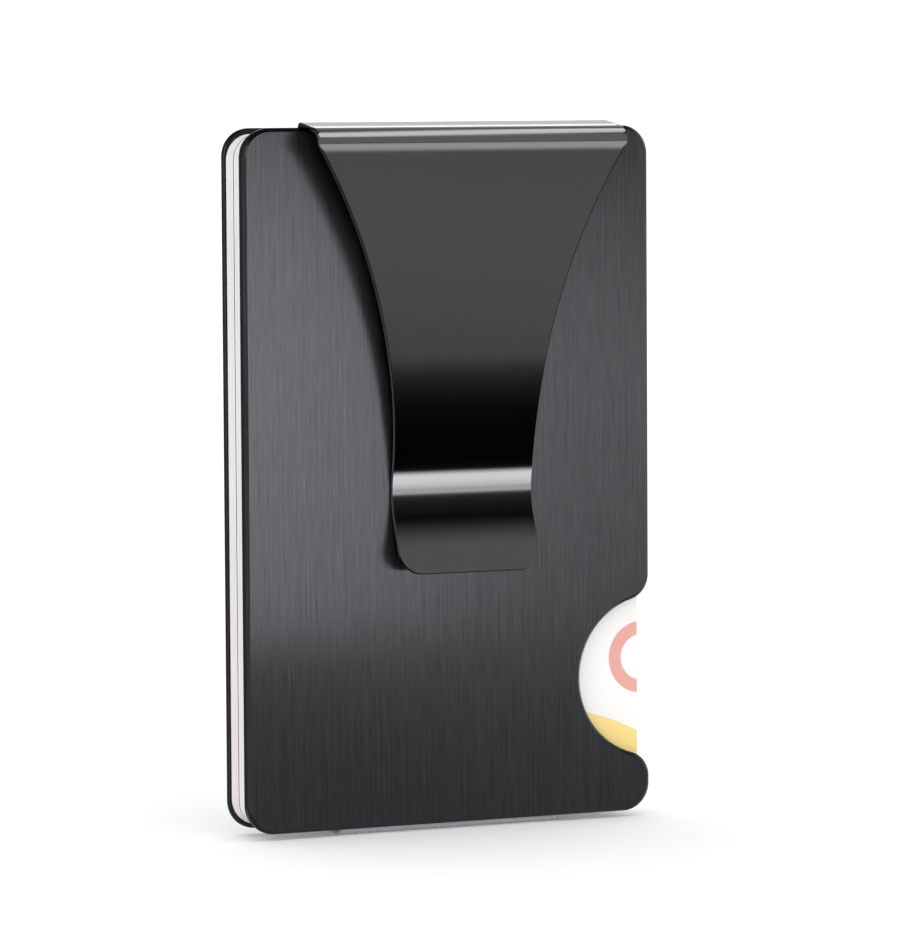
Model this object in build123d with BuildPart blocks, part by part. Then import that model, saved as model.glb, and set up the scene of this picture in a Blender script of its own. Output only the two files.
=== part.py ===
from build123d import *
import math
import os

os.makedirs("parts", exist_ok=True)

# A minimalist card wallet standing on its short edge. +X runs across the wallet towards the thumb notch,
# +Y from the clip side towards the back plate, +Z up. The origin is the bottom centre of the whole
# wallet's bounding box, so the band's lowest face is at z = 0. All sizes are millimetres.

# ---- driving dimensions: plates and liners ----
PLATE_W, PLATE_H, PLATE_T = 55.0, 87.0, 1.1
PLATE_R = 3.5                                    # corner radius
OUTER_CHAMFER, INNER_CHAMFER = 0.45, 0.15
NOTCH_R, NOTCH_RISE, NOTCH_OUT = 10.2, 17.2, 0.5           # radius, height up the edge, centre outside it
NOTCH_ENTRY_R = 3.2                              # rounding where the thumb notch meets the long edge
LINER_T, LINER_INSET = 0.7, 0.15
CHANNEL_W, CHANNEL_D = 31.0, 0.25                # band channel milled into each plate and each liner
RELIEF_W, RELIEF_D = 32.0, 1.5                   # liner cut back where the band turns

# ---- driving dimensions: cards, to ISO/IEC 7810 ID-1, and their contact modules ----
CARD_W, CARD_H, CARD_T, CARD_R = 53.98, 85.6, 0.76, 3.18
CARD_COUNT, CARD_GAP, LINER_GAP = 5, 0.02, 0.03
CARD_SHIFT = -0.4                                # the stack sits off centre, away from the thumb notch
SPLIT_AFTER, SPLIT_GAP = 2, 0.22                 # the second card's raised print holds the third off it
CHIP_W, CHIP_H, CHIP_T, CHIP_R = 11.8, 13.0, 0.2, 1.2
CHIP_CLEARANCE, CHIP_RECESS = 0.05, 0.01
CHIP_X, CHIP_DROP = -3.1, 16.0                   # its centre across the card, and below the card's top

# ---- driving dimensions: elastic band, one loop round the cards ----
BAND_W, BAND_T, BAND_TURN_R = 30.0, 0.45, 0.9
BAND_BULGE, BAND_RISE = 0.8, 0.4                 # how far it stands out below and above the plates
BAND_JOIN = 0.6                                  # where its runs meet its turns, inside the plates' edges

# ---- driving dimensions: screws ----
SCREW_DX, SCREW_DZ, SCREW_LOW = 38.0, 68.0, 6.0  # liner screws: spacings and the lower row's height
SHANK_R, SHANK_L, HOLE_CLEARANCE, THREAD_DEPTH = 0.8, 0.75, 0.05, 0.85
LINER_HEAD_R, LINER_HEAD_H = 1.4, 0.6
CLIP_HEAD_R, CLIP_HEAD_H = 1.22, 0.42
HEAD_DROP = 0.02                                 # heads sit just below the face
SOCKET_R, SOCKET_LOBE_R, SOCKET_DEPTH = 0.45, 0.14, 0.3

# ---- driving dimensions: money clip, one bent sheet; drops are below the plates' top edge ----
CLIP_T, CLIP_X, CLIP_GAP = 0.5, 1.2, 0.05        # thickness, middle across the wallet, seat gap
CLIP_REACH = 5.35                                # from the front plate's face to the front of the roll
ROLL_R, SEAT_R = 2.0, 0.8                        # outside radii of the front roll and of the back bend
TOP_SLOPE, TOP_GAP = 8.0, 0.12                   # the top falls towards the roll, this far over the plate
ARM_ANGLE, ARM_FOOT_ANGLE, LIP_ANGLE = 5.0, 11.0, 21.0
VALLEY_R, VALLEY_DROP, VALLEY_GAP = 9.0, 45.2, 0.25        # the valley that grips the notes
LIP_DROP, LIP_HALF, LIP_CORNER_R = 55.2, 9.45, 2.7
FLARE_HALF, FLARE_DROP, FLARE_FOOT_DROP, FLARE_CORNER_R = 20.8, 2.1, 42.0, 1.0
LUG_INNER, LUG_DROP, LUG_CORNER_R, LUG_CLEARANCE = 16.8, 7.0, 0.8, 0.2
CLIP_BACK_EDGE = 0.75                            # between the lugs the sheet ends this far behind the face
CLIP_SCREW_DX, CLIP_SCREW_DROP = 37.6, 4.0
FLEX_DROP, FLEX_CUT = 2.6, 0.05                  # where the arm flexes, and the cut made there

# ---- places worked out from them ----
CARD_STACK = CARD_COUNT * CARD_T + (CARD_COUNT - 2) * CARD_GAP + SPLIT_GAP + 2 * LINER_GAP
SIDE_T = PLATE_T + LINER_T
BODY_T = 2 * SIDE_T + CARD_STACK
FRONT_Y = (CLIP_REACH - BODY_T) / 2              # the front plate's outer face
BACK_Y = FRONT_Y + BODY_T                        # the back plate's outer face
BASE_Z = BAND_BULGE                              # the plates' bottom and top edges
TOP_Z = BASE_Z + PLATE_H
MID_Z = (BASE_Z + TOP_Z) / 2
SCREW_MID_Z = BASE_Z + SCREW_LOW + SCREW_DZ / 2
CLIP_SCREW_Z = TOP_Z - CLIP_SCREW_DROP
FRONT, BACK = 1, -1                              # the way from each outer plate to the cards, along Y
OUTER_Y = {FRONT: FRONT_Y, BACK: BACK_Y}
FAR = 60.0                                       # longer than any cut needs


def upright(y, x=0.0, z=0.0):
    """A plane at depth y facing the front, local x along +X and local y along +Z."""
    return Plane(origin=(x, y, z), x_dir=(1, 0, 0), z_dir=(0, -1, 0))


def facing_cards(side, depth, x=0.0, z=0.0):
    """A plane that looks at the cards, so many mm inside that side's outer face."""
    y = OUTER_Y[side] + side * depth
    return Plane(origin=(x, y, z), x_dir=(1, 0, 0), z_dir=(0, side, 0))


def across(x=0.0):
    """A plane for side views, local x along +Y and local y along +Z."""
    return Plane(origin=(x, 0, 0), x_dir=(0, 1, 0), z_dir=(1, 0, 0))


def finish(builder, name):
    """Label a finished piece and write its STEP file."""
    builder.part.label = name
    export_step(builder.part, f"parts/{name}.step")


def draw_outline(sketch, inset):
    """The plates' outline about its own centre: a rounded rectangle with the thumb notch cut in."""
    edge_x = PLATE_W / 2 - inset
    notch_y = NOTCH_RISE - PLATE_H / 2
    notch_r = NOTCH_R + inset
    RectangleRounded(PLATE_W - 2 * inset, PLATE_H - 2 * inset, PLATE_R - inset)
    with Locations((PLATE_W / 2 + NOTCH_OUT, notch_y)):
        Circle(notch_r, mode=Mode.SUBTRACT)
    entries = sketch.vertices().filter_by(
        lambda v: abs(v.X - edge_x) < 0.01 and abs(v.Y - notch_y) < notch_r
    )
    fillet(entries, radius=NOTCH_ENTRY_R - inset)


# ---- outer plates and liners ----
def outer_plate(name, side):
    """Anodised plate: notched, chamfered, with a band channel and blind threaded holes behind."""
    with BuildPart() as plate:
        with BuildSketch(upright(OUTER_Y[side], z=MID_Z)) as outline:
            draw_outline(outline, 0.0)
        extrude(amount=-side * PLATE_T)
        for end, size in ((0, OUTER_CHAMFER), (-1, INNER_CHAMFER)):
            broad = plate.faces().filter_by(Axis.Y).sort_by(Axis.Y, reverse=side == BACK)
            chamfer(broad[end].edges(), length=size)
        with BuildSketch(facing_cards(side, PLATE_T, z=MID_Z)):
            Rectangle(CHANNEL_W, PLATE_H)
        extrude(amount=-CHANNEL_D, mode=Mode.SUBTRACT)
        with Locations(facing_cards(side, PLATE_T, z=SCREW_MID_Z)):
            with GridLocations(SCREW_DX, SCREW_DZ, 2, 2):
                Hole(radius=SHANK_R, depth=THREAD_DEPTH)
        if side == FRONT:
            with Locations(facing_cards(side, PLATE_T, CLIP_X, CLIP_SCREW_Z)):
                with GridLocations(CLIP_SCREW_DX, 1, 2, 1):
                    Hole(radius=SHANK_R, depth=THREAD_DEPTH)
    finish(plate, name)


def liner(name, side):
    """Inner plate: traps the band in its channel, and the front one is cut out round the clip's lugs."""
    lug_w = FLARE_HALF - LUG_INNER
    lug_x = LUG_INNER + lug_w / 2
    with BuildPart() as plate:
        with BuildSketch(upright(OUTER_Y[side] + side * PLATE_T, z=MID_Z)) as outline:
            draw_outline(outline, LINER_INSET)
        extrude(amount=-side * LINER_T)
        with BuildSketch(facing_cards(side, PLATE_T, z=MID_Z)):
            Rectangle(CHANNEL_W, PLATE_H)
        extrude(amount=CHANNEL_D, mode=Mode.SUBTRACT)
        with BuildSketch(facing_cards(side, PLATE_T, z=MID_Z)):
            with GridLocations(1, PLATE_H, 1, 2):
                Rectangle(RELIEF_W, 2 * RELIEF_D)
        extrude(amount=LINER_T, mode=Mode.SUBTRACT)
        if side == FRONT:
            with BuildSketch(facing_cards(side, PLATE_T, CLIP_X, TOP_Z)):
                with GridLocations(2 * lug_x, 1, 2, 1):
                    Rectangle(lug_w + 2 * LUG_CLEARANCE, 2 * (LUG_DROP + LUG_CLEARANCE))
            extrude(amount=LINER_T, mode=Mode.SUBTRACT)
        with Locations(facing_cards(side, SIDE_T, z=SCREW_MID_Z)):
            with GridLocations(SCREW_DX, SCREW_DZ, 2, 2):
                CounterSinkHole(
                    radius=SHANK_R + HOLE_CLEARANCE,
                    counter_sink_radius=LINER_HEAD_R + HOLE_CLEARANCE,
                    counter_sink_angle=90,
                )
    finish(plate, name)


# ---- screws ----
def screws(name, side, depth, place, spacing, rows, head_r, head_h):
    """Countersunk screws with a six-lobe socket, one solid each, heads towards the cards."""
    columns = 2
    with BuildPart() as group:
        with Locations(facing_cards(side, depth - HEAD_DROP, *place)):
            with GridLocations(*spacing, columns, rows):
                Cone(SHANK_R, head_r, head_h, align=(Align.CENTER, Align.CENTER, Align.MAX))
                with Locations((0, 0, -head_h)):
                    Cylinder(SHANK_R, SHANK_L, align=(Align.CENTER, Align.CENTER, Align.MAX))
        with BuildSketch(facing_cards(side, depth - HEAD_DROP, *place)):
            with GridLocations(*spacing, columns, rows):
                Circle(SOCKET_R)
                with PolarLocations(SOCKET_R, 6):
                    Circle(SOCKET_LOBE_R)
        extrude(amount=-SOCKET_DEPTH, mode=Mode.SUBTRACT)
    finish(group, name)


# ---- money clip ----
def clip_path():
    """Places on the middle of the sheet, seen from the side, worked out from the clip's angles and radii.

    The arm leaves the roll straight, curves in to its foot, turns in the valley and ends in the lip. The
    length of its straight part and the radius of its curve follow from where the roll and the valley are.
    """
    half_t = CLIP_T / 2
    lean, foot, kick = (math.radians(a) for a in (ARM_ANGLE, ARM_FOOT_ANGLE, LIP_ANGLE))
    roll_r = ROLL_R - half_t
    roll_y = FRONT_Y - CLIP_REACH + ROLL_R
    roll_z = over_roll(roll_y, roll_r)
    arm_top = (roll_y - roll_r * math.cos(lean), roll_z - roll_r * math.sin(lean))
    valley_r = VALLEY_R + half_t
    valley = (FRONT_Y - VALLEY_GAP - half_t, TOP_Z - VALLEY_DROP)
    arm_foot = (valley[0] - valley_r * (1 - math.cos(foot)), valley[1] + valley_r * math.sin(foot))
    lip_top = (valley[0] - valley_r * (1 - math.cos(kick)), valley[1] - valley_r * math.sin(kick))
    lip_l = (lip_top[1] - (TOP_Z - LIP_DROP)) / math.cos(kick)
    lip_end = (lip_top[0] - lip_l * math.sin(kick), lip_top[1] - lip_l * math.cos(kick))
    rise, lean_out = arm_top[1] - arm_foot[1], arm_foot[0] - arm_top[0]
    turn_y, turn_z = math.cos(lean) - math.cos(foot), math.sin(foot) - math.sin(lean)
    curve_r = (lean_out - rise * math.tan(lean)) / (turn_y - turn_z * math.tan(lean))
    arm_bend = (arm_foot[0] - curve_r * turn_y, arm_foot[1] + curve_r * turn_z)
    return roll_y, roll_z, arm_top, arm_bend, arm_foot, valley, lip_top, lip_end


def over_roll(middle_y, radius):
    """The height of the middle of a bend that the sloping top meets, for the bend's place and radius."""
    slope = math.radians(TOP_SLOPE)
    edge_y = FRONT_Y + OUTER_CHAMFER
    edge_z = TOP_Z + TOP_GAP + CLIP_T / 2 / math.cos(slope)
    return edge_z + (middle_y - edge_y) * math.tan(slope) - radius / math.cos(slope)


def on_arm(drop):
    """The point on the arm's straight part so far below the plates' top edge."""
    arm_top = clip_path()[2]
    z = TOP_Z - drop
    return (arm_top[0] + (arm_top[1] - z) * math.tan(math.radians(ARM_ANGLE)), z)


def clip_outline():
    """The clip's outline seen from the front, as a sketch: flared top, waist and rounded lip."""
    waist_z, flare_z, lip_z = TOP_Z - FLARE_FOOT_DROP, TOP_Z - FLARE_DROP, TOP_Z - LIP_DROP
    above = TOP_Z + ROLL_R
    with BuildSketch(upright(FRONT_Y, x=CLIP_X)) as outline:
        with BuildLine():
            Line((0, lip_z), (LIP_HALF, lip_z))
            Line((LIP_HALF, lip_z), (LIP_HALF, waist_z))
            TangentArc((LIP_HALF, waist_z), (FLARE_HALF, flare_z), tangent=(0, 1))
            Line((FLARE_HALF, flare_z), (FLARE_HALF, above))
            Line((FLARE_HALF, above), (0, above))
            Line((0, above), (0, lip_z))
        make_face()
        mirror(about=Plane.YZ)
        fillet(outline.vertices().group_by(Axis.Y)[0], radius=LIP_CORNER_R)
        corners = outline.vertices().filter_by(lambda v: abs(v.Y - flare_z) < 0.01)
        fillet(corners, radius=FLARE_CORNER_R)
    return outline.sketch


def clip_root():
    """The clip's fixed end: lugs behind the plate, back bend, sloping top and front roll."""
    roll_y, roll_z, arm_top = clip_path()[:3]
    half_t = CLIP_T / 2
    seat_r = SEAT_R - half_t
    lug_y = FRONT_Y + PLATE_T + CLIP_GAP + half_t
    seat_y = lug_y - seat_r
    seat_z = over_roll(seat_y, seat_r)
    roll_r = ROLL_R - half_t
    slope = math.radians(TOP_SLOPE)
    roll_end = (roll_y - roll_r * math.sin(slope), roll_z + roll_r * math.cos(slope))
    seat_end = (seat_y - seat_r * math.sin(slope), seat_z + seat_r * math.cos(slope))
    lug_w = FLARE_HALF - LUG_INNER
    with BuildPart() as root:
        with BuildSketch(across(CLIP_X)):
            with BuildLine():
                CenterArc((roll_y, roll_z), roll_r, 90 + TOP_SLOPE, 90 - TOP_SLOPE + ARM_ANGLE)
                Line(arm_top, on_arm(FLEX_DROP - FLEX_CUT / 2))
            trace(line_width=CLIP_T)
        extrude(amount=FLARE_HALF, both=True)
        extrude(clip_outline(), amount=FAR, both=True, mode=Mode.INTERSECT)
        with BuildSketch(across(CLIP_X)):
            with BuildLine():
                Line((lug_y, TOP_Z - LUG_DROP), (lug_y, seat_z))
                CenterArc((seat_y, seat_z), seat_r, 0, 90 + TOP_SLOPE)
                Line(seat_end, roll_end)
            trace(line_width=CLIP_T)
        extrude(amount=FLARE_HALF, both=True)
        with BuildSketch(Plane.XY.offset(TOP_Z - LUG_DROP)):
            with Locations((CLIP_X, FRONT_Y + CLIP_BACK_EDGE)):
                Rectangle(2 * LUG_INNER, 2 * SIDE_T, align=(Align.CENTER, Align.MIN))
        extrude(amount=FAR, mode=Mode.SUBTRACT)
        lug_ends = root.edges().filter_by(Axis.Y).group_by(Axis.Z)[0]
        fillet(lug_ends, radius=LUG_CORNER_R)
        with Locations(facing_cards(FRONT, PLATE_T + CLIP_GAP + CLIP_T, CLIP_X, CLIP_SCREW_Z)):
            with GridLocations(CLIP_SCREW_DX, 1, 2, 1):
                CounterSinkHole(
                    radius=SHANK_R + HOLE_CLEARANCE,
                    counter_sink_radius=CLIP_HEAD_R + HOLE_CLEARANCE,
                    depth=lug_w / 2,
                    counter_sink_angle=90,
                )
    finish(root, "clip_root")


def clip_arm():
    """The clip's sprung end: straight arm, curve, valley and lip."""
    arm_bend, arm_foot, valley, lip_top, lip_end = clip_path()[3:]
    with BuildPart() as arm:
        with BuildSketch(across(CLIP_X)):
            with BuildLine():
                Line(on_arm(FLEX_DROP + FLEX_CUT / 2), arm_bend)
                TangentArc(arm_foot, arm_bend, tangent=heading(ARM_FOOT_ANGLE))
                ThreePointArc(arm_foot, valley, lip_top)
                Line(lip_top, lip_end)
            trace(line_width=CLIP_T)
        extrude(amount=FLARE_HALF, both=True)
        extrude(clip_outline(), amount=FAR, both=True, mode=Mode.INTERSECT)
    finish(arm, "clip_arm")


def heading(angle):
    """The direction up the arm where it leans out by this many degrees."""
    return (-math.sin(math.radians(angle)), math.cos(math.radians(angle)))


# ---- elastic band ----
def band_run(name, side):
    """The stretch of the band that lies in one side's channel."""
    depth = PLATE_T - BAND_T / 2
    with BuildPart() as run:
        with BuildSketch(facing_cards(side, depth, z=MID_Z)):
            Rectangle(BAND_W, PLATE_H - 2 * BAND_JOIN)
        extrude(amount=BAND_T)
    finish(run, name)


def band_turn(name, edge_z, out, stand):
    """The stretch that crosses the card space, standing out past the plates' edge by so many mm."""
    turn_r = BAND_TURN_R - BAND_T / 2
    near, far = FRONT_Y + PLATE_T, BACK_Y - PLATE_T
    join = edge_z - out * BAND_JOIN
    turn_z = edge_z + out * (stand - BAND_TURN_R)
    flat = turn_z + out * turn_r
    with BuildPart() as turn:
        with BuildSketch(across()):
            with BuildLine():
                Line((near, join), (near, turn_z))
                TangentArc((near, turn_z), (near + turn_r, flat), tangent=(0, out))
                Line((near + turn_r, flat), (far - turn_r, flat))
                TangentArc((far, turn_z), (far - turn_r, flat), tangent=(0, out))
                Line((far, turn_z), (far, join))
            trace(line_width=BAND_T)
        extrude(amount=BAND_W / 2, both=True)
    finish(turn, name)


# ---- cards ----
def card_face_y(number):
    """The depth of a card's front face, counting from 1 at the clip side."""
    split = SPLIT_GAP - CARD_GAP if number > SPLIT_AFTER else 0.0
    return FRONT_Y + SIDE_T + LINER_GAP + (number - 1) * (CARD_T + CARD_GAP) + split


def card(number, has_chip):
    """A laminated card with rounded corners, and a milled pocket where it carries a contact module."""
    face_y = card_face_y(number)
    chip_z = MID_Z + CARD_H / 2 - CHIP_DROP
    with BuildPart() as body:
        with BuildSketch(upright(face_y, CARD_SHIFT, MID_Z)):
            RectangleRounded(CARD_W, CARD_H, CARD_R)
        extrude(amount=-CARD_T)
        if has_chip:
            with BuildSketch(upright(face_y, CARD_SHIFT + CHIP_X, chip_z)):
                RectangleRounded(CHIP_W + 2 * CHIP_CLEARANCE, CHIP_H + 2 * CHIP_CLEARANCE, CHIP_R)
            extrude(amount=-(CHIP_T + CHIP_RECESS), mode=Mode.SUBTRACT)
    finish(body, f"card_{number}")
    if not has_chip:
        return
    with BuildPart() as chip:
        with BuildSketch(upright(face_y + CHIP_RECESS, CARD_SHIFT + CHIP_X, chip_z)):
            RectangleRounded(CHIP_W, CHIP_H, CHIP_R)
        extrude(amount=-CHIP_T)
    finish(chip, f"card_{number}_chip")


outer_plate("front_plate", FRONT)
outer_plate("back_plate", BACK)
liner("front_liner", FRONT)
liner("back_liner", BACK)
LINER_SCREWS = ((0, SCREW_MID_Z), (SCREW_DX, SCREW_DZ), 2, LINER_HEAD_R, LINER_HEAD_H)
screws("front_liner_screws", FRONT, SIDE_T, *LINER_SCREWS)
screws("back_liner_screws", BACK, SIDE_T, *LINER_SCREWS)
clip_root()
clip_arm()
CLIP_SCREWS = ((CLIP_X, CLIP_SCREW_Z), (CLIP_SCREW_DX, 1), 1, CLIP_HEAD_R, CLIP_HEAD_H)
screws("clip_screws", FRONT, PLATE_T + CLIP_GAP + CLIP_T, *CLIP_SCREWS)
band_run("band_front_run", FRONT)
band_run("band_back_run", BACK)
band_turn("band_top_turn", TOP_Z, 1, BAND_RISE)
band_turn("band_bottom_turn", BASE_Z, -1, BAND_BULGE)
for card_number in range(1, CARD_COUNT + 1):
    card(card_number, has_chip=card_number > 1)

flex_y, flex_z = on_arm(FLEX_DROP)
print(f"clip flexes at y {flex_y:.3f}, z {flex_z:.3f}; plates {FRONT_Y:.3f} to {BACK_Y:.3f}")
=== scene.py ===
import math

import bmesh
import bpy
from mathutils import Matrix, Vector


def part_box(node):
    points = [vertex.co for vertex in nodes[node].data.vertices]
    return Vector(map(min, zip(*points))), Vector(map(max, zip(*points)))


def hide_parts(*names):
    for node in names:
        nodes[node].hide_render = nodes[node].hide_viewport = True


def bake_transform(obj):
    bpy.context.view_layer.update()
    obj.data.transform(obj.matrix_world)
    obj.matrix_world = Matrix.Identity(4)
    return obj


# A minimalist card wallet on its short edge: +X towards the thumb notch, +Y from the money clip to the
# back plate, +Z up. Lengths named below are millimetres unless they say otherwise.
MM = 0.001

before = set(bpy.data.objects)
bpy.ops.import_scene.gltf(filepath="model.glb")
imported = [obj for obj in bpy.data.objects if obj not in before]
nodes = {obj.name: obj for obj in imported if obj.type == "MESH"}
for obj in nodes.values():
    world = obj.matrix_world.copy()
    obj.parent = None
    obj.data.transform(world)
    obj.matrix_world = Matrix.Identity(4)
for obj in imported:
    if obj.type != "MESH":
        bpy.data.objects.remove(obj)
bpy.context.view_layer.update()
scene = bpy.context.scene


# ---- places taken from the frame, in millimetres ----
def span(node):
    """A CAD node's lowest and highest corner in millimetres."""
    low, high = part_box(node)
    return low / MM, high / MM


PLATE_LOW, PLATE_HIGH = span("front_plate")
ROOT_LOW, ROOT_HIGH = span("clip_root")
RUN_LOW, RUN_HIGH = span("band_front_run")
BACK_RUN_LOW, BACK_RUN_HIGH = span("band_back_run")
CHIP_LOW, CHIP_HIGH = span("card_2_chip")
BAND_TOP_Z = span("band_top_turn")[1].z
BAND_FOOT_Z = span("band_bottom_turn")[0].z

FRONT_Y, TOP_Z, BASE_Z = PLATE_LOW.y, PLATE_HIGH.z, PLATE_LOW.z
MID_Z = (TOP_Z + BASE_Z) / 2


# ---- small helpers ----
def rgb(*values):
    """An opaque colour from one grey or three linear values."""
    return (*(values * 3 if len(values) == 1 else values), 1.0)


class Tree:
    """A node tree with short calls for adding and joining nodes."""

    def __init__(self, tree):
        self.tree = tree

    def add(self, kind, inputs=None, **settings):
        """A new node with these settings; an input is a value, or an output to join to it."""
        node = self.tree.nodes.new(kind)
        for key, value in settings.items():
            setattr(node, key, value)
        for key, value in (inputs or {}).items():
            self.put(value, node.inputs[key])
        return node

    def put(self, value, socket):
        """Join an output to a socket, or set the socket's own value."""
        if isinstance(value, bpy.types.NodeSocket):
            self.tree.links.new(value, socket)
        else:
            socket.default_value = value

    def math(self, operation, *values, clamp=False):
        """One step of arithmetic."""
        node = self.add("ShaderNodeMath", dict(enumerate(values)), operation=operation, use_clamp=clamp)
        return node.outputs[0]

    def mix(self, share, first, second):
        """A blend of two colours."""
        node = self.add("ShaderNodeMix", data_type="RGBA")
        self.put(share, node.inputs["Factor"])
        self.put(first, node.inputs["A"])
        self.put(second, node.inputs["B"])
        return node.outputs["Result"]

    def remap(self, value, low, high, new_low=0.0, new_high=1.0):
        """The value moved from one range to another, kept inside it."""
        node = self.add(
            "ShaderNodeMapRange",
            {"Value": value, "From Min": low, "From Max": high, "To Min": new_low, "To Max": new_high},
        )
        return node.outputs["Result"]

    def smooth(self, value, low, high):
        """A soft step from 0 to 1."""
        node = self.add(
            "ShaderNodeMapRange",
            {"Value": value, "From Min": low, "From Max": high},
            interpolation_type="SMOOTHSTEP",
        )
        return node.outputs["Result"]

    def place(self):
        """The point in the row frame, in millimetres, as a vector."""
        where = self.add("ShaderNodeTexCoord").outputs["Object"]
        return self.add("ShaderNodeVectorMath", {0: where, "Scale": 1 / MM}, operation="SCALE").outputs[0]

    def noise(self, vector, scale, detail=2.0, roughness=0.5):
        """Noise at so many cycles per unit along each axis."""
        scaled = self.add("ShaderNodeVectorMath", {0: vector, 1: scale}, operation="MULTIPLY").outputs[0]
        node = self.add(
            "ShaderNodeTexNoise",
            {"Vector": scaled, "Scale": 1.0, "Detail": detail, "Roughness": roughness},
        )
        return node.outputs["Fac"]

    def split(self, vector):
        """The three parts of a vector."""
        return self.add("ShaderNodeSeparateXYZ", {0: vector}).outputs

    def bump(self, height, depth):
        """A bump of that many millimetres."""
        inputs = {"Height": height, "Distance": depth * MM, "Strength": 1.0}
        return self.add("ShaderNodeBump", inputs).outputs["Normal"]


def material(name, **values):
    """A material with one principled shader, and its sockets set to these values."""
    made = bpy.data.materials.new(name)
    made.use_nodes = True
    shader = made.node_tree.nodes["Principled BSDF"]
    for key, value in values.items():
        shader.inputs[key.replace("_", " ")].default_value = value
    return made, Tree(made.node_tree), shader.inputs


def mesh_object(name, points, faces):
    """A mesh object from points in millimetres."""
    mesh = bpy.data.meshes.new(name)
    mesh.from_pydata([Vector(point) * MM for point in points], [], faces)
    mesh.validate()
    mesh.update()
    made = bpy.data.objects.new(name, mesh)
    scene.collection.objects.link(made)
    for polygon in mesh.polygons:
        polygon.use_smooth = True
    return made


def face_outwards(piece):
    """Drop points that no face uses, and turn every face the same way."""
    shape = bmesh.new()
    shape.from_mesh(piece.data)
    bmesh.ops.delete(shape, geom=[point for point in shape.verts if not point.link_faces], context="VERTS")
    bmesh.ops.recalc_face_normals(shape, faces=shape.faces)
    shape.to_mesh(piece.data)
    shape.free()


def soften(piece, width, angle=30.0, segments=2, weld=False):
    """Round a piece's sharp edges so that they catch the light. Weld joins a CAD mesh's doubled points."""
    if weld:
        joined = piece.modifiers.new("weld", "WELD")
        joined.merge_threshold = 0.0005 * MM
    rounding = piece.modifiers.new("edge", "BEVEL")
    rounding.width = width * MM
    rounding.segments = segments
    rounding.limit_method = "ANGLE"
    rounding.angle_limit = math.radians(angle)
    rounding.use_clamp_overlap = True
    rounding.harden_normals = weld
    if not weld:
        shading = piece.modifiers.new("shading", "WEIGHTED_NORMAL")
        shading.mode = "FACE_AREA"
        shading.weight = 90


# ---- materials ----
def anodised_plate():
    """Black anodised aluminium, brushed up and down: long fine scratches and a little unevenness."""
    made, tree, sockets = material("anodised_plate", Metallic=1.0, Anisotropic=0.9)
    place = tree.place()
    grooves = tree.noise(place, (3.4, 3.4, 0.05), detail=3.0, roughness=0.65)
    hairs = tree.noise(place, (7.5, 7.5, 0.22), detail=2.0, roughness=0.6)
    patches = tree.noise(place, (0.05, 0.05, 0.03), detail=2.0)
    both = tree.math("MULTIPLY_ADD", hairs, 0.55, tree.math("MULTIPLY", grooves, 0.45))
    tone = tree.remap(both, 0.3, 0.7)
    tree.put(tree.mix(tone, rgb(0.041, 0.043, 0.0452), rgb(0.077, 0.08, 0.0843)), sockets["Base Color"])
    worn = tree.remap(patches, 0.3, 0.7, 0.18, 0.21)
    tree.put(tree.math("ADD", worn, tree.remap(both, 0.3, 0.7, -0.015, 0.02)), sockets["Roughness"])
    tree.put(tree.bump(both, 0.006), sockets["Normal"])
    tree.put(tree.add("ShaderNodeCombineXYZ", {"X": 1.0, "Y": -1.0}).outputs[0], sockets["Tangent"])
    return made


def clip_sheet():
    """Smooth satin black coating on the spring steel, with a faint orange peel."""
    made, tree, sockets = material("clip_sheet", Metallic=1.0)
    place = tree.place()
    peel = tree.noise(place, (1.2, 1.2, 1.2), detail=2.0)
    fine = tree.noise(place, (9.0, 9.0, 9.0), detail=2.0)
    tree.put(tree.mix(peel, rgb(0.145, 0.147, 0.15), rgb(0.155, 0.157, 0.16)), sockets["Base Color"])
    tree.put(tree.remap(fine, 0.3, 0.7, 0.11, 0.13), sockets["Roughness"])
    tree.put(tree.bump(peel, 0.0015), sockets["Normal"])
    return made


def liner_plastic():
    """Matt black inner plates with a very fine grain."""
    made, tree, sockets = material("liner", Roughness=0.6)
    sockets["Specular IOR Level"].default_value = 0.25
    grain = tree.noise(tree.place(), (6.0, 6.0, 6.0), detail=4.0, roughness=0.7)
    tree.put(tree.mix(grain, rgb(0.005), rgb(0.012)), sockets["Base Color"])
    tree.put(tree.remap(grain, 0.3, 0.7, 0.5, 0.65), sockets["Roughness"])
    tree.put(tree.bump(grain, 0.01), sockets["Normal"])
    return made


def screw_steel():
    """Black oxide steel with turning marks."""
    made, tree, sockets = material("screw", Metallic=1.0)
    place = tree.place()
    marks = tree.noise(place, (5.0, 12.0, 5.0), detail=3.0)
    tree.put(tree.mix(marks, rgb(0.05, 0.05, 0.053), rgb(0.12, 0.12, 0.125)), sockets["Base Color"])
    tree.put(tree.remap(marks, 0.3, 0.7, 0.28, 0.42), sockets["Roughness"])
    tree.put(tree.bump(marks, 0.004), sockets["Normal"])
    return made


WARP_PITCH, WEFT_PITCH = 0.42, 0.36


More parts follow.
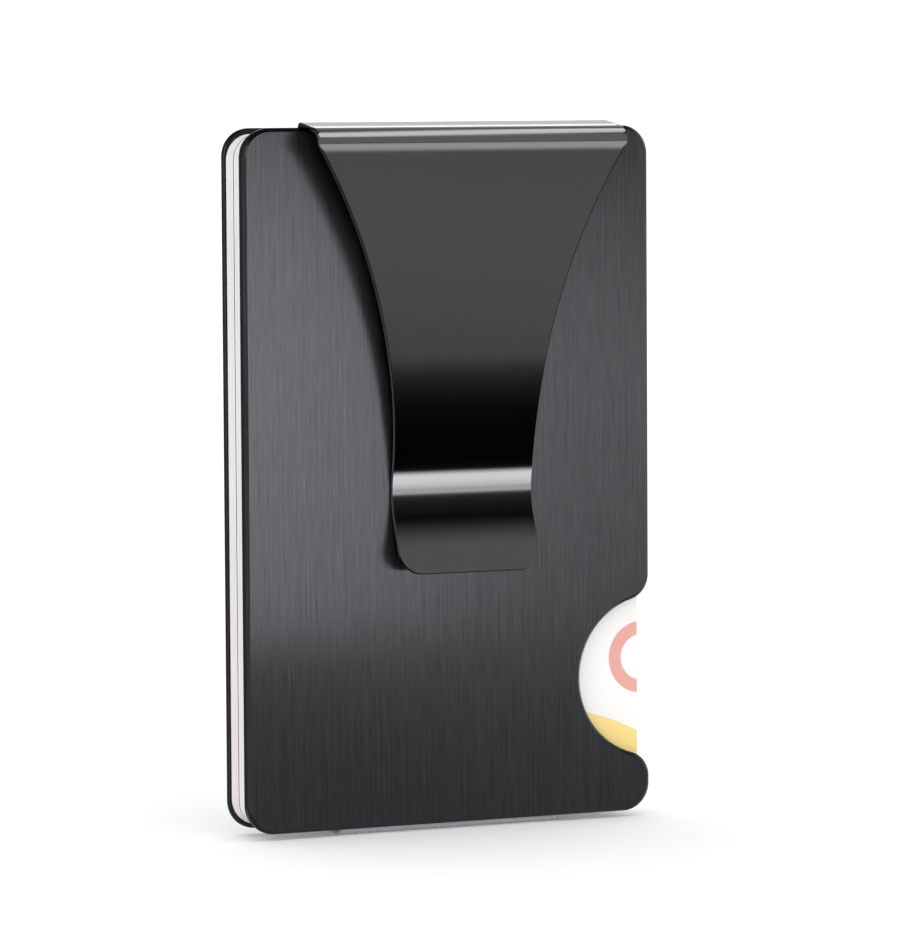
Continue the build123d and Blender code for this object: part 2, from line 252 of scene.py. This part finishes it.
def elastic_fabric():
    """Grey woven elastic: a fine plain weave over the modelled ribs."""
    made, tree, sockets = material("elastic", Roughness=0.85)
    sockets["Sheen Weight"].default_value = 0.15
    place = tree.place()
    across, through, along = tree.split(place)[:3]
    run = tree.math("ADD", along, through)
    warp = tree.math("SINE", tree.math("MULTIPLY", across, 2 * math.pi / WARP_PITCH))
    weft = tree.math("SINE", tree.math("MULTIPLY", run, 2 * math.pi / WEFT_PITCH))
    weave = tree.remap(tree.math("MULTIPLY", warp, weft), -1.0, 1.0)
    fuzz = tree.noise(place, (4.0, 4.0, 4.0), detail=4.0, roughness=0.7)
    tone = tree.math("MULTIPLY_ADD", fuzz, 0.6, tree.math("MULTIPLY", weave, 0.4))
    tree.put(tree.mix(tone, rgb(0.28, 0.29, 0.305), rgb(0.52, 0.53, 0.55)), sockets["Base Color"])
    tree.put(tree.remap(fuzz, 0.2, 0.8, 0.8, 0.95), sockets["Roughness"])
    tree.put(tree.bump(tone, 0.05), sockets["Normal"])
    return made


# Places on a card: across the wallet, and up from the floor.
RING_PLACE, RING_OUTER_R, RING_INNER_R = (27.2, 20.2), 4.6, 2.9
HILL_PLACE, HILL_R, HILL_YELLOW = (14.0, -12.0), 26.0, (0.98, 0.74, 0.26)
WAVE_PITCH, WAVE_SLANT = 34.0, 0.35
STRIPE_X, PANEL_X, PANEL_Z = (10.5, 23.0), (-4.0, 5.0), (20.0, 74.0)


def card_plastic(name, base, accent, shape, tint):
    """A laminated card: white core at the edges, a plain generic print on its broad faces."""
    made, tree, sockets = material(name, Roughness=0.35)
    sockets["Coat Weight"].default_value = 0.15
    sockets["Coat Roughness"].default_value = 0.2
    place = tree.place()
    x, _, z = tree.split(place)[:3]
    facing = tree.split(tree.add("ShaderNodeNewGeometry").outputs["True Normal"])[1]
    front = tree.math("LESS_THAN", facing, -0.6)
    back = tree.math("GREATER_THAN", facing, 0.6)
    mottle = tree.noise(place, (0.9, 6.0, 0.25), detail=3.0)
    low = tree.smooth(z, MID_Z + 15, BASE_Z + 8)
    core = tree.mix(low, rgb(0.82), rgb(*tint))
    dirt = tree.math("MULTIPLY", tree.remap(mottle, 0.3, 0.75), 0.4)
    core = tree.mix(dirt, core, rgb(0.6, 0.57, 0.57))
    colour = tree.mix(front, core, shape(tree, x, z, base, accent))
    tree.put(tree.mix(back, colour, stripe_side(tree, x, z, base)), sockets["Base Color"])
    gloss = tree.noise(place, (0.15, 0.15, 0.15), detail=3.0)
    tree.put(tree.remap(gloss, 0.3, 0.7, 0.3, 0.4), sockets["Roughness"])
    tree.put(tree.bump(tree.noise(place, (1.5, 1.5, 1.5)), 0.001), sockets["Normal"])
    return made


def disc(tree, x, z, centre, radius, edge=0.06):
    """1 inside a circle, 0 outside."""
    dx = tree.math("SUBTRACT", x, centre[0])
    dz = tree.math("SUBTRACT", z, centre[1])
    away = tree.math("SQRT", tree.math("ADD", tree.math("MULTIPLY", dx, dx), tree.math("MULTIPLY", dz, dz)))
    return tree.smooth(away, radius + edge, radius - edge)


def ring_and_hill(tree, x, z, base, accent):
    """A plain coral ring over a yellow rounded field, on white."""
    outer = disc(tree, x, z, RING_PLACE, RING_OUTER_R)
    inner = disc(tree, x, z, RING_PLACE, RING_INNER_R)
    ring = tree.math("SUBTRACT", outer, inner, clamp=True)
    hill = disc(tree, x, z, HILL_PLACE, HILL_R)
    colour = tree.mix(hill, rgb(*base), rgb(*HILL_YELLOW))
    return tree.mix(ring, colour, rgb(*accent))


def soft_waves(tree, x, z, base, accent):
    """Broad soft diagonal bands between two colours."""
    slant = tree.math("MULTIPLY_ADD", x, WAVE_SLANT, z)
    wave = tree.math("SINE", tree.math("MULTIPLY", slant, 2 * math.pi / WAVE_PITCH))
    return tree.mix(tree.remap(wave, -1.0, 1.0), rgb(*base), rgb(*accent))


def stripe_side(tree, x, z, base):
    """The back of a card: a dark magnetic stripe along one long edge and a pale signature panel."""
    stripe = inside(tree, x, STRIPE_X)
    panel = tree.math("MULTIPLY", inside(tree, x, PANEL_X), inside(tree, z, PANEL_Z))
    colour = tree.mix(stripe, rgb(*[0.5 + 0.35 * part for part in base]), rgb(0.02, 0.018, 0.018))
    return tree.mix(panel, colour, rgb(0.85, 0.84, 0.8))


def inside(tree, value, limits):
    """1 where the value is between two limits."""
    above, below = tree.math("GREATER_THAN", value, limits[0]), tree.math("LESS_THAN", value, limits[1])
    return tree.math("MULTIPLY", above, below)


# The contacts' dividing lines, from the module's middle.
PAD_X, PAD_END_Z, MIDDLE_PAD_Z, SIDE_PAD_Z = 2.3, 6.1, 3.0, (1.7, 4.2)


def chip_gold():
    """Gold plated contacts, parted by fine dark lines."""
    made, tree, sockets = material("chip", Metallic=1.0)
    place = tree.place()
    x, _, z = tree.split(place)[:3]
    mid_x, mid_z = (CHIP_LOW.x + CHIP_HIGH.x) / 2, (CHIP_LOW.z + CHIP_HIGH.z) / 2
    dx = tree.math("ABSOLUTE", tree.math("SUBTRACT", x, mid_x))
    dz = tree.math("ABSOLUTE", tree.math("SUBTRACT", z, mid_z))
    lines = [(near(tree, dx, PAD_X), tree.math("LESS_THAN", dz, PAD_END_Z))]
    lines += [(near(tree, dz, row), tree.math("GREATER_THAN", dx, PAD_X)) for row in SIDE_PAD_Z]
    lines += [(near(tree, dz, MIDDLE_PAD_Z), tree.math("LESS_THAN", dx, PAD_X))]
    gap = tree.math("MULTIPLY", *lines[0])
    for line in lines[1:]:
        gap = tree.math("MAXIMUM", gap, tree.math("MULTIPLY", *line))
    wear = tree.noise(place, (1.5, 1.5, 0.4), detail=3.0)
    gold = tree.mix(wear, rgb(0.78, 0.58, 0.26), rgb(0.86, 0.7, 0.38))
    tree.put(tree.mix(gap, gold, rgb(0.12, 0.08, 0.03)), sockets["Base Color"])
    tree.put(tree.remap(wear, 0.3, 0.7, 0.2, 0.32), sockets["Roughness"])
    tree.put(tree.bump(tree.math("SUBTRACT", 1.0, gap), 0.02), sockets["Normal"])
    return made


def near(tree, value, place, half=0.07):
    """1 where the value is next to that place."""
    return tree.math("LESS_THAN", tree.math("ABSOLUTE", tree.math("SUBTRACT", value, place)), half)


def dress(piece, made):
    """Give a piece one material."""
    piece.data.materials.clear()
    piece.data.materials.append(made)


WHITE, CORAL = (0.92, 0.91, 0.9), (0.81, 0.39, 0.34)
CORE_TINT, PINK_CORE_TINT = (0.84, 0.82, 0.82), (0.84, 0.77, 0.785)
plate_finish, clip_finish, liner_finish = anodised_plate(), clip_sheet(), liner_plastic()
screw_finish, elastic_finish, gold = screw_steel(), elastic_fabric(), chip_gold()

for name in ("front_plate", "back_plate"):
    dress(nodes[name], plate_finish)
    soften(nodes[name], 0.1, weld=True)
for name in ("front_liner", "back_liner"):
    dress(nodes[name], liner_finish)
    soften(nodes[name], 0.05, weld=True)
for name in ("front_liner_screws", "back_liner_screws", "clip_screws"):
    dress(nodes[name], screw_finish)
card_prints = {
    "card_1": (WHITE, CORAL, ring_and_hill),
    "card_2": ((0.1, 0.22, 0.3), (0.3, 0.5, 0.55), soft_waves),
    # card_3's near-black print is partly painted shade: it darkens the thin gap between the second and third
    # cards where the stack's edges show.
    "card_3": ((0.07, 0.06, 0.05), (0.16, 0.14, 0.115), soft_waves),
    "card_4": ((0.16, 0.12, 0.25), (0.45, 0.3, 0.42), soft_waves),
    "card_5": ((0.6, 0.62, 0.64), (0.78, 0.79, 0.8), soft_waves),
}
for name, (base, accent, shape) in card_prints.items():
    tint = CORE_TINT if name in ("card_1", "card_2") else PINK_CORE_TINT
    dress(nodes[name], card_plastic(name + "_print", base, accent, shape, tint))
    soften(nodes[name], 0.05, weld=True)
for name in ("card_2_chip", "card_3_chip", "card_4_chip", "card_5_chip"):
    dress(nodes[name], gold)


# ---- money clip: one bent sheet ----
CLIP_T, ROLL_R, SEAT_R = 0.5, 2.0, 0.8
TOP_SLOPE, TOP_GAP, PLATE_CHAMFER = math.radians(8.0), 0.12, 0.45
ARM_ANGLE, ARM_FOOT_ANGLE, LIP_ANGLE = (math.radians(a) for a in (5.0, 11.0, 21.0))
VALLEY_R, VALLEY_DROP, VALLEY_GAP = 9.0, 45.2, 0.25
LIP_HALF, LIP_CORNER_R = 9.45, 2.7
FLARE_DROP, FLARE_FOOT_DROP, FLARE_CORNER_R = 2.1, 42.0, 1.0
LUG_INNER, BACK_EDGE = 16.8, 0.75
LUG_ROWS, SEAT_ROWS, TOP_ROWS, ROLL_ROWS = 14, 10, 6, 30
ARM_ROWS, VALLEY_ROWS, FLARE_ROWS, LIP_ROWS, ROW_GAP = 110, 30, 12, 14, 0.06
MIDDLE_COLUMNS, RIM_COLUMN = 16, 0.985
# The sheet's middle across and its flare's half width, from the clip's root node; the heights of the lip's
# end and of the lugs' ends.
CLIP_X = (ROOT_LOW.x + ROOT_HIGH.x) / 2
FLARE_HALF = (ROOT_HIGH.x - ROOT_LOW.x) / 2
LIP_Z, LUG_Z = span("clip_arm")[0].z, ROOT_LOW.z


class ClipPath:
    """The middle of the sheet seen from the side, as (y, z) points in millimetres."""

    def __init__(self):
        half_t = CLIP_T / 2
        self.roll_r = ROLL_R - half_t
        self.roll = (ROOT_LOW.y + ROLL_R, self.top_z(ROOT_LOW.y + ROLL_R) - self.roll_r / math.cos(TOP_SLOPE))
        self.seat_r = SEAT_R - half_t
        self.lug_y = ROOT_HIGH.y - half_t
        seat_y = self.lug_y - self.seat_r
        self.seat = (seat_y, self.top_z(seat_y) - self.seat_r / math.cos(TOP_SLOPE))
        self.arm_top = self.round_roll(math.pi + ARM_ANGLE)
        self.valley_r = VALLEY_R + half_t
        valley_y, valley_z = FRONT_Y - VALLEY_GAP - half_t, TOP_Z - VALLEY_DROP
        self.valley_middle = (valley_y - self.valley_r, valley_z)
        self.foot = self.round_valley(ARM_FOOT_ANGLE)
        self.lip_top = self.round_valley(-LIP_ANGLE)
        rise, lean_out = self.arm_top[1] - self.foot[1], self.foot[0] - self.arm_top[0]
        turn_y = math.cos(ARM_ANGLE) - math.cos(ARM_FOOT_ANGLE)
        turn_z = math.sin(ARM_FOOT_ANGLE) - math.sin(ARM_ANGLE)
        slope = math.tan(ARM_ANGLE)
        self.curve_r = (lean_out - rise * slope) / (turn_y - turn_z * slope)
        self.bend = (self.foot[0] - self.curve_r * turn_y, self.foot[1] + self.curve_r * turn_z)
        self.curve_middle = (
            self.foot[0] + self.curve_r * math.cos(ARM_FOOT_ANGLE),
            self.foot[1] + self.curve_r * math.sin(ARM_FOOT_ANGLE),
        )

    def top_z(self, y):
        """The height of the sloping top at that depth."""
        edge_z = TOP_Z + TOP_GAP + CLIP_T / 2 / math.cos(TOP_SLOPE)
        return edge_z + (y - FRONT_Y - PLATE_CHAMFER) * math.tan(TOP_SLOPE)

    def round_roll(self, angle):
        """A point on the roll, at an angle from the way to the back plate."""
        return (self.roll[0] + self.roll_r * math.cos(angle), self.roll[1] + self.roll_r * math.sin(angle))

    def round_valley(self, angle):
        """A point in the valley, at an angle above its lowest point."""
        y, z = self.valley_middle
        return (y + self.valley_r * math.cos(angle), z + self.valley_r * math.sin(angle))

    def sheet_y(self, z):
        """The depth of the arm or lip at that height."""
        if z >= self.bend[1]:
            return self.arm_top[0] + (self.arm_top[1] - z) * math.tan(ARM_ANGLE)
        if z >= self.foot[1]:
            reach = self.curve_r**2 - (z - self.curve_middle[1]) ** 2
            return self.curve_middle[0] - math.sqrt(reach)
        if z >= self.lip_top[1]:
            return self.valley_middle[0] + math.sqrt(self.valley_r**2 - (z - self.valley_middle[1]) ** 2)
        return self.lip_top[0] - (self.lip_top[1] - z) * math.tan(LIP_ANGLE)


def steps(start, end, count, closed=True):
    """Evenly spaced values from start to end."""
    return [start + (end - start) * i / count for i in range(count + closed)]


def clip_half_width(z):
    """Half the sheet's width at that height: rounded lip, waist, concave flare and its soft corner."""
    waist_z, flare_z = TOP_Z - FLARE_FOOT_DROP, TOP_Z - FLARE_DROP
    wide, tall = FLARE_HALF - LIP_HALF, flare_z - waist_z
    flare_r = (wide**2 + tall**2) / (2 * wide)
    middle_x = LIP_HALF + flare_r
    corner_x = FLARE_HALF - FLARE_CORNER_R
    corner_z = waist_z + math.sqrt((flare_r + FLARE_CORNER_R) ** 2 - (middle_x - corner_x) ** 2)
    meet_z = waist_z + (corner_z - waist_z) * flare_r / (flare_r + FLARE_CORNER_R)
    if z < LIP_Z + LIP_CORNER_R:
        down = LIP_Z + LIP_CORNER_R - z
        return LIP_HALF - LIP_CORNER_R + math.sqrt(max(LIP_CORNER_R**2 - down**2, 0.0))
    if z < waist_z:
        return LIP_HALF
    if z < meet_z:
        return middle_x - math.sqrt(flare_r**2 - (z - waist_z) ** 2)
    if z < corner_z:
        return corner_x + math.sqrt(FLARE_CORNER_R**2 - (corner_z - z) ** 2)
    return FLARE_HALF


def clip_rows(path):
    """Rows of the sheet from the lugs' ends to the lip's: (y, z, half width)."""
    rows = [(path.lug_y, z, FLARE_HALF) for z in steps(LUG_Z, path.seat[1], LUG_ROWS, False)]
    for angle in steps(0.0, math.pi / 2 + TOP_SLOPE, SEAT_ROWS):
        y = path.seat[0] + path.seat_r * math.cos(angle)
        rows.append((y, path.seat[1] + path.seat_r * math.sin(angle), FLARE_HALF))
    edge_y = FRONT_Y + BACK_EDGE
    back_row = len(rows)
    roll_start = path.round_roll(math.pi / 2 + TOP_SLOPE)
    rows += [(y, path.top_z(y), FLARE_HALF) for y in steps(edge_y, roll_start[0], TOP_ROWS)]
    for angle in steps(math.pi / 2 + TOP_SLOPE, math.pi + ARM_ANGLE, ROLL_ROWS)[1:]:
        y, z = path.round_roll(angle)
        rows.append((y, z, clip_half_width(z)))
    arm_z, flare_z, corner_z = rows[-1][1], TOP_Z - FLARE_DROP, LIP_Z + LIP_CORNER_R
    heights = steps(arm_z, corner_z, ARM_ROWS)[1:]
    heights += steps(path.foot[1], path.lip_top[1], VALLEY_ROWS)
    heights += steps(flare_z - 0.5, flare_z + 0.8, FLARE_ROWS)
    heights = sorted({round(z, 4) for z in heights if z < arm_z - 0.02}, reverse=True)
    kept = [heights[0]]
    for z in heights[1:]:
        if kept[-1] - z > ROW_GAP:
            kept.append(z)
    kept += [corner_z - LIP_CORNER_R * math.sin(angle) for angle in steps(0.0, math.pi / 2, LIP_ROWS)[1:]]
    rows += [(path.sheet_y(z), z, clip_half_width(z)) for z in kept]
    return rows, back_row


def money_clip():
    """The whole clip: lugs behind the plate, back bend, flat top, roll, arm, valley and lip."""
    path = ClipPath()
    rows, back_row = clip_rows(path)
    lug = LUG_INNER / FLARE_HALF
    outer = [lug, (1 + lug) / 2, RIM_COLUMN, 1.0]
    across = [-share for share in reversed(outer)] + steps(-lug, lug, MIDDLE_COLUMNS)[1:-1] + outer
    points = [(CLIP_X + share * half, y, z) for y, z, half in rows for share in across]
    count = len(across)
    faces = []
    for row in range(len(rows) - 1):
        for column in range(count - 1):
            middle = (across[column] + across[column + 1]) / 2
            if row < back_row and abs(middle) < lug:
                continue
            first = row * count + column
            faces.append((first, first + 1, first + count + 1, first + count))
    piece = mesh_object("money_clip", points, faces)
    face_outwards(piece)
    thick = piece.modifiers.new("sheet", "SOLIDIFY")
    thick.thickness = CLIP_T * MM
    thick.offset = 0.0
    thick.use_even_offset = True
    soften(piece, 0.09, angle=50.0, segments=3)
    dress(piece, clip_finish)
    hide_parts("clip_root", "clip_arm")
    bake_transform(piece)
    return piece


clip = money_clip()


# ---- elastic band: one woven loop ----
BAND_T, BAND_TURN_R = 0.45, 0.9
RIB_PITCH, RIB_DEPTH, RIB_FULLNESS, PICK_PITCH, PICK_DEPTH = 1.0, 0.07, 0.6, 0.55, 0.035
SELVEDGE_W, SELVEDGE_ROUND = 0.35, 0.35
BAND_COLUMNS, TURN_STEPS, RUN_STEPS = 240, 8, 40
FINE_STEP, LONG_RUN, SHORT_GAP = 0.14, 10, 0.4


def band_path():
    """The middle of the band seen from the side, with its outward direction, all the way round."""
    near_y, far_y = (RUN_LOW.y + RUN_HIGH.y) / 2, (BACK_RUN_LOW.y + BACK_RUN_HIGH.y) / 2
    turn_r = BAND_TURN_R - BAND_T / 2
    high, low = BAND_TOP_Z - BAND_T / 2 - turn_r, BAND_FOOT_Z + BAND_T / 2 + turn_r
    corners = (
        (near_y + turn_r, high, math.pi, math.pi / 2),
        (far_y - turn_r, high, math.pi / 2, 0.0),
        (far_y - turn_r, low, 0.0, -math.pi / 2),
        (near_y + turn_r, low, -math.pi / 2, -math.pi),
    )
    path = []
    for y, z, start, end in corners:
        for angle in steps(start, end, TURN_STEPS):
            out = (math.cos(angle), math.sin(angle))
            path.append((y + turn_r * out[0], z + turn_r * out[1], *out))
    filled = []
    for i, here in enumerate(path):
        there = path[(i + 1) % len(path)]
        filled.append(here)
        gap = math.dist(here[:2], there[:2])
        if gap < SHORT_GAP:
            continue
        count = round(gap / FINE_STEP) if gap < LONG_RUN else RUN_STEPS
        for share in steps(0.0, 1.0, count, False)[1:]:
            y, z = (here[k] + (there[k] - here[k]) * share for k in (0, 1))
            filled.append((y, z, here[2], here[3]))
    return filled


def elastic_band():
    """A flat woven loop with lengthwise ribs, fine picks across them and firm edges."""
    half_w = (RUN_HIGH.x - RUN_LOW.x) / 2
    columns = steps(-half_w, half_w, BAND_COLUMNS)
    path = band_path()
    points, faces = [], []
    travelled = 0.0
    for row, (y, z, out_y, out_z) in enumerate(path):
        if row:
            travelled += math.dist((y, z), path[row - 1][:2])
        pick = 0.5 - 0.5 * math.cos(2 * math.pi * travelled / PICK_PITCH)
        for x in columns:
            rib = abs(math.sin(math.pi * x / RIB_PITCH)) ** RIB_FULLNESS
            edge = min(1.0, (half_w - abs(x)) / SELVEDGE_W)
            round_off = (1 - math.sqrt(max(0.0, 1 - (1 - edge) ** 2))) * BAND_T * SELVEDGE_ROUND
            sink = RIB_DEPTH * (1 - rib) + PICK_DEPTH * pick * rib + round_off
            outer = BAND_T / 2 - sink
            points.append((x, y + out_y * outer, z + out_z * outer))
            inner = -BAND_T / 2 + round_off
            points.append((x, y + out_y * inner, z + out_z * inner))
    count = len(columns)
    rows = len(path)

    def at(row, column, side):
        return ((row % rows) * count + column) * 2 + side

    for row in range(rows):
        for column in range(count - 1):
            a, b = at(row, column, 0), at(row, column + 1, 0)
            c, d = at(row + 1, column + 1, 0), at(row + 1, column, 0)
            faces.append((a, b, c, d))
            faces.append((a + 1, d + 1, c + 1, b + 1))
        for column in (0, count - 1):
            a, b = at(row, column, 0), at(row + 1, column, 0)
            faces.append((a, b, b + 1, a + 1) if column == 0 else (a, a + 1, b + 1, b))
    piece = mesh_object("elastic_band", points, faces)
    face_outwards(piece)
    dress(piece, elastic_finish)
    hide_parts("band_front_run", "band_back_run", "band_top_turn", "band_bottom_turn")
    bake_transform(piece)
    return piece


elastic_band()


# ---- floor and light ----
FLOOR_R = 30.0  # metres


def floor():
    """A wide pale disc under the wallet."""
    shape = bmesh.new()
    bmesh.ops.create_circle(shape, cap_ends=True, segments=96, radius=FLOOR_R)
    mesh = bpy.data.meshes.new("floor")
    shape.to_mesh(mesh)
    shape.free()
    made = bpy.data.objects.new("floor", mesh)
    scene.collection.objects.link(made)
    paint, tree, sockets = material("floor_paint", Roughness=0.9)
    sockets["Base Color"].default_value = rgb(0.78)
    sockets["Specular IOR Level"].default_value = 0.0
    sockets["Emission Color"].default_value = rgb(1.0)
    sockets["Emission Strength"].default_value = 0.13
    dress(made, paint)
    made.visible_glossy = False
    made.visible_shadow = False


# Brightness that the gloss sees, by degrees above the horizon: in front, behind, at the sides, left back.
FRONT_SKY = (
    (-32, 0.35), (-29, 0.0), (-17.0, 0.0), (-15.3, 0.02), (-13.9, 0.05), (-12.95, 0.12), (-12.4, 0.2),
    (-12.1, 0.46), (-11.7, 0.57), (-9.6, 0.5), (-8.6, 0.14), (-7.6, 0.17), (-6.9, 0.4), (-6.25, 0.7),
    (-5.4, 1.0), (-4.5, 1.3), (-3.8, 1.5), (-2.2, 1.7), (-1.8, 1.6), (-1.3, 1.15), (-0.9, 0.65),
    (-0.3, 0.03), (34, 0.01), (60, 0.1),
)
BACK_SKY = ((-40, 0.35), (-10, 0.5), (2, 0.5), (8, 0.95), (34, 0.95), (48, 0.5), (70, 0.5))
SIDE_SKY = ((-40, 0.3), (-10, 0.4), (30, 0.4), (50, 0.12), (60, 0.08))
SHADE_SKY = ((-40, 0.45), (-15, 0.45), (-10, 0.12), (30, 0.12), (50, 0.12), (60, 0.08))
DOME, BACKDROP = 1.3, 1.05
# Degrees round from the front, towards the right, and degrees up.
FRONT_TURN, LEFT_BOX_TURN, LEFT_BOX_UP, LEFT_BOX_LEVEL = (2.0, 60.0), (-50.0, -6.0), (-14.0, 30.0), 3.0


def ladder(tree, angle, levels):
    """Brightness by angle, from a list of (degrees, brightness)."""
    low, high = levels[0][0], levels[-1][0]
    brightest = max(level for _, level in levels)
    ramp = tree.add("ShaderNodeValToRGB", {"Fac": tree.remap(angle, low, high)})
    stops = ramp.color_ramp.elements
    while len(stops) < len(levels):
        stops.new(0.5)
    for stop, (degrees, level) in zip(stops, levels):
        stop.position = (degrees - low) / (high - low)
        stop.color = rgb(level / brightest)
    return tree.math("MULTIPLY", ramp.outputs["Color"], brightest)


def between(tree, value, low, high, soft):
    """1 between two angles, falling off softly at both."""
    rise = tree.smooth(value, low - soft, low + soft)
    return tree.math("MULTIPLY", rise, tree.smooth(value, high + soft, high - soft))


def blend_values(tree, share, first, second):
    """A blend of two numbers."""
    return tree.math("ADD", first, tree.math("MULTIPLY", share, tree.math("SUBTRACT", second, first)))


def sky():
    """White for the camera, an even dome for the matt surfaces, a studio of soft boxes for the gloss."""
    world = bpy.data.worlds.new("studio")
    scene.world = world
    world.use_nodes = True
    world.cycles.sampling_method = "NONE"
    tree = Tree(world.node_tree)
    tree.tree.nodes.clear()
    x, y, z = tree.split(tree.add("ShaderNodeTexCoord").outputs["Generated"])[:3]
    up = tree.math("MULTIPLY", tree.math("ARCSINE", z), 180 / math.pi)
    turn = tree.math("ARCTAN2", x, tree.math("MULTIPLY", y, -1.0))
    turn = tree.math("MULTIPLY", turn, 180 / math.pi)
    level = ladder(tree, up, SIDE_SKY)
    level = blend_values(tree, between(tree, turn, *FRONT_TURN, 6.0), level, ladder(tree, up, FRONT_SKY))
    behind = tree.math("MULTIPLY", tree.smooth(y, 0.0, 0.35), tree.smooth(x, 0.1, 0.34))
    level = blend_values(tree, behind, level, ladder(tree, up, BACK_SKY))
    left_back = tree.math("MULTIPLY", tree.smooth(y, -0.1, 0.2), tree.smooth(x, 0.34, 0.1))
    level = blend_values(tree, left_back, level, ladder(tree, up, SHADE_SKY))
    box_across, box_up = between(tree, turn, *LEFT_BOX_TURN, 6.0), between(tree, up, *LEFT_BOX_UP, 4.0)
    level = tree.math("MULTIPLY_ADD", tree.math("MULTIPLY", box_across, box_up), LEFT_BOX_LEVEL, level)
    ray = tree.add("ShaderNodeLightPath").outputs
    gloss = tree.add("ShaderNodeBackground", {"Color": rgb(1.0), "Strength": level})
    dome = tree.add("ShaderNodeBackground", {"Color": rgb(1.0), "Strength": DOME})
    backdrop = tree.add("ShaderNodeBackground", {"Color": rgb(1.0), "Strength": BACKDROP})
    shaders = (dome.outputs[0], gloss.outputs[0], backdrop.outputs[0])
    soft = tree.add("ShaderNodeMixShader", {0: ray["Is Glossy Ray"], 1: shaders[0], 2: shaders[1]})
    seen = tree.add("ShaderNodeMixShader", {0: ray["Is Camera Ray"], 1: soft.outputs[0], 2: shaders[2]})
    tree.add("ShaderNodeOutputWorld", {"Surface": seen.outputs[0]})


def soft_box(name, place, aim, size, radiance, edge, receivers):
    """A soft box seen only in the gloss of some pieces. Its light falls off over a share of its height."""
    lamp = bpy.data.lights.new(name, "AREA")
    lamp.shape = "RECTANGLE"
    lamp.size, lamp.size_y = size[0] * MM, size[1] * MM
    lamp.energy = radiance * math.pi * lamp.size * lamp.size_y
    if edge:
        lamp.use_nodes = True
        tree = Tree(lamp.node_tree)
        height = tree.split(tree.add("ShaderNodeNewGeometry").outputs["Parametric"])[1]
        share = tree.math("MULTIPLY", tree.smooth(height, 0.0, edge), tree.smooth(height, 1.0, 1.0 - edge))
        tree.put(share, tree.tree.nodes["Emission"].inputs["Strength"])
    made = bpy.data.objects.new(name, lamp)
    scene.collection.objects.link(made)
    made.location = Vector(place) * MM
    made.rotation_mode = "QUATERNION"
    made.rotation_quaternion = (Vector(aim) - Vector(place)).to_track_quat("-Z", "Y")
    made.visible_camera = False
    made.visible_diffuse = False
    group = bpy.data.collections.new(name + "_lights")
    for piece in receivers:
        group.objects.link(piece)
    made.light_linking.receiver_collection = group


floor()
sky()
brushed = [nodes["front_plate"]] + [nodes[f"card_{number}_chip"] for number in range(2, 6)]
# name, middle, aimed at, width and height, brightness, share of the height that falls off, what it lights
SOFT_BOXES = (
    ("valley_light", (2.2, -4.45, 43.2), (2.2, 0.0, 43.2), (24.0, 2.2), 3.9, 0.42, [clip]),
    ("lip_light", (3.4, -7.5, 36.45), (3.4, 0.0, 36.45), (26.0, 13.7), 0.48, 0.38, [clip]),
    ("roll_foot_light", (2.6, -9.5, 84.95), (2.6, 0.0, 84.95), (46.0, 1.6), 1.4, 0.4, [clip]),
    ("roll_front_light", (2.6, -9.5, 88.6), (2.6, 0.0, 88.6), (46.0, 7.4), 0.62, 0.25, [clip]),
    ("roll_top_light", (66.0, -43.0, 232.0), (CLIP_X, -4.5, 87.0), (160.0, 108.0), 3.3, 0.4, [clip]),
    ("crease_light", (-0.2, -1.8, 88.76), (-0.2, -4.8, 88.0), (46.0, 0.36), 1.7, 0.3, [clip]),
    ("low_light", (342.0, -940.0, -535.0), (0.0, 0.0, 44.0), (1400.0, 640.0), 0.8, 0.1, brushed),
    ("plate_light", (5.0, -121.0, 51.0), (5.0, 0.0, 51.0), (90.0, 90.0), 1.4, 0.12, [nodes["front_plate"]]),
)
for values in SOFT_BOXES:
    soft_box(*values)


# ---- camera ----
AZIMUTH, ELEVATION, ROLL = 23.944, 4.071, -0.353
DISTANCE, LENS, ASIDE, ABOVE = 642.87, 200.25, -0.113, 1.605


def camera():
    """A long lens from the left of the clip, a little above the wallet's middle."""
    lens = bpy.data.cameras.new("camera")
    made = bpy.data.objects.new("camera", lens)
    scene.collection.objects.link(made)
    lens.lens, lens.sensor_width = LENS, 36.0
    lens.clip_start, lens.clip_end = 0.01, 100.0
    turn = (
        Matrix.Rotation(math.radians(-AZIMUTH), 4, "Z")
        @ Matrix.Rotation(math.radians(-ELEVATION), 4, "X")
        @ Matrix.Rotation(math.radians(-ROLL), 4, "Y")
    )
    target = Vector((0.0, FRONT_Y, MID_Z))
    away = turn @ Vector((ASIDE, -DISTANCE, ABOVE))
    made.matrix_world = Matrix.Translation((target + away) * MM) @ turn @ Matrix.Rotation(math.pi / 2, 4, "X")
    scene.camera = made


camera()
scene.view_settings.view_transform = "Standard"

bpy.context.view_layer.update()
